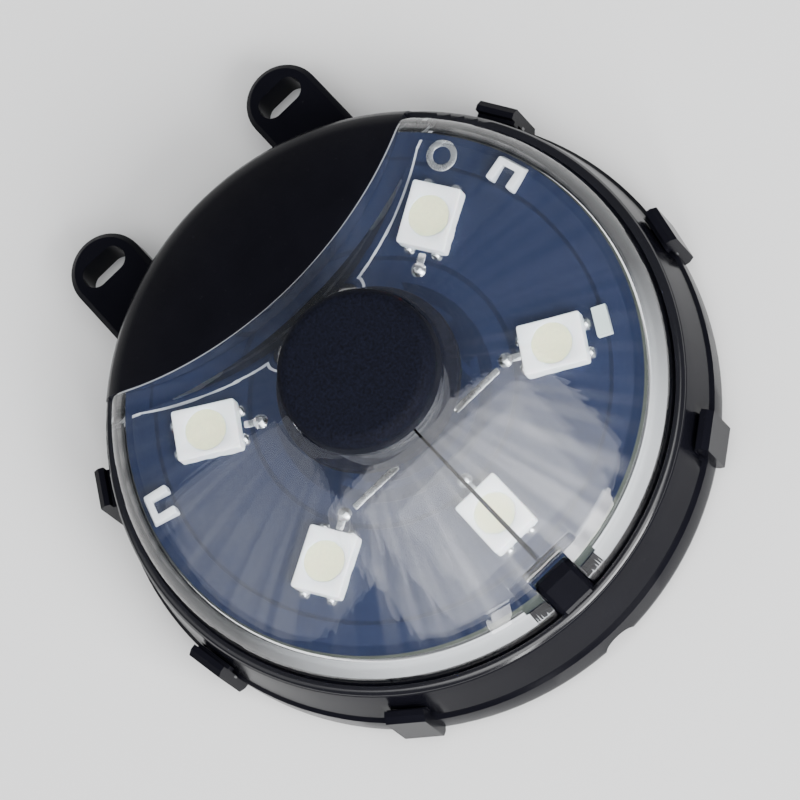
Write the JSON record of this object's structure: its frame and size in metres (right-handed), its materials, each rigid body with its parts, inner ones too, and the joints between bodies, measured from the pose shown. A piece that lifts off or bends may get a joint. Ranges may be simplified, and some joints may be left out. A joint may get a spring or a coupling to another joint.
{
  "type": "spoke wheel light",
  "caption": "Round bicycle spoke light with a clear domed lens, push button, diode board, coin cell, clip groove for a spoke and slotted tie ears.",
  "frame": {"origin": "on the axis of the spoke groove, at the middle of the round housing", "axes": "+X along the spoke towards the rim, where the head and ears are; +Z out of the lens; +Y across"},
  "size_m": [0.0383, 0.0352, 0.0142],
  "materials": {
    "black_plastic": "black moulded plastic, satin with a fine grain",
    "clear_plastic": "clear polished polycarbonate",
    "button_rubber": "matte blue-black rubber",
    "seal_rubber": "soft black sealing rubber",
    "board_laminate": "glass-fibre laminate with dark blue solder mask",
    "led_white": "white moulded diode housing",
    "led_resin": "pale yellow phosphor resin",
    "resistor_ceramic": "black film on a white ceramic chip",
    "capacitor_ceramic": "tan ceramic chip",
    "chip_black": "black moulded epoxy",
    "switch_plastic": "black nylon",
    "plated_steel": "bright nickel plate on thin spring metal",
    "cell_steel": "nickel-plated steel, fine turned finish",
    "cell_insulator": "grey polypropylene ring"
  },
  "bodies": {
    "rear_unit": {"rear_cover": "black_plastic", "rim_gasket": "seal_rubber", "cell_can": "cell_steel", "cell_grommet": "cell_insulator", "cell_cap": "cell_steel"},
    "front_unit": {"front_case": "black_plastic", "lens": "clear_plastic", "circuit_board": "board_laminate", "controller_chip": "chip_black", "capacitor": "capacitor_ceramic", "switch_body": "switch_plastic", "switch_plate": "plated_steel", "switch_terminals": "plated_steel", "negative_contact": "plated_steel", "positive_contact": "plated_steel", "led_body_1": "led_white", "led_window_1": "led_resin", "led_body_2": "led_white", "led_window_2": "led_resin", "led_body_3": "led_white", "led_window_3": "led_resin", "led_body_4": "led_white", "led_window_4": "led_resin", "led_body_5": "led_white", "led_window_5": "led_resin", "resistor_1": "resistor_ceramic", "resistor_2": "resistor_ceramic", "resistor_3": "resistor_ceramic"},
    "button": {"button_cap": "button_rubber", "switch_plunger": "switch_plastic"}
  },
  "joints": [
    {"name": "case_release", "type": "slide", "parent": "rear_unit", "child": "front_unit", "axis": [0, 0, 1], "range_m": [0, 0.012]},
    {"name": "button_press", "type": "slide", "parent": "front_unit", "child": "button", "axis": [0, 0, -1], "range_m": [0, 0.0004], "stiffness_N_per_m": 3000}
  ]
}
